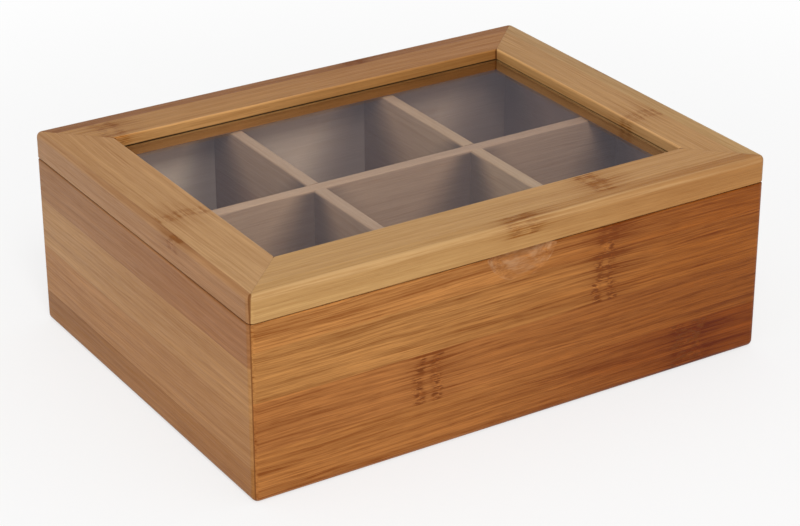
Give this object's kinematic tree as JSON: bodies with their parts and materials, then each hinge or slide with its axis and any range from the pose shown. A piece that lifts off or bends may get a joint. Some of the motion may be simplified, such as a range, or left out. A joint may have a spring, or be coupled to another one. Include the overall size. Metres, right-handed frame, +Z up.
{
  "type": "tea bag organizer box",
  "caption": "Bamboo storage box for tea bags, divided into compartments, with a hinged lid that has a recessed glass window and a finger scoop in the front wall.",
  "frame": {"origin": "on the table, at the centre of the outline that the box and its hinge barrels make together", "axes": "+X to the right along the front, +Y from the front to the hinges, +Z up"},
  "size_m": [0.216, 0.1692, 0.0782],
  "materials": {
    "bamboo": "laminated carbonised bamboo under a clear satin lacquer",
    "divider_wood": "pale bare wood, sanded",
    "panel_board": "thin bamboo-faced board, satin",
    "glass": "clear flat glass",
    "hinge_brass": "brushed brass",
    "screw_brass": "plain brass"
  },
  "bodies": {
    "box": {"front_wall": "bamboo", "back_wall": "bamboo", "left_wall": "bamboo", "right_wall": "bamboo", "bottom_panel": "panel_board", "long_divider": "divider_wood", "cross_divider_left": "divider_wood", "cross_divider_right": "divider_wood", "hinge_left_box_leaf": "hinge_brass", "hinge_right_box_leaf": "hinge_brass", "hinge_left_pin": "hinge_brass", "hinge_right_pin": "hinge_brass", "box_leaf_screws": "screw_brass"},
    "lid": {"lid_front_rail": "bamboo", "lid_back_rail": "bamboo", "lid_left_rail": "bamboo", "lid_right_rail": "bamboo", "window_pane": "glass", "hinge_left_lid_leaf": "hinge_brass", "hinge_right_lid_leaf": "hinge_brass", "lid_leaf_screws": "screw_brass"}
  },
  "joints": [
    {"name": "lid_hinge", "type": "hinge", "parent": "box", "child": "lid", "pos_m": [0, 0.08267, 0.06765], "axis": [-1, 0, 0], "range_deg": [0, 95]}
  ]
}
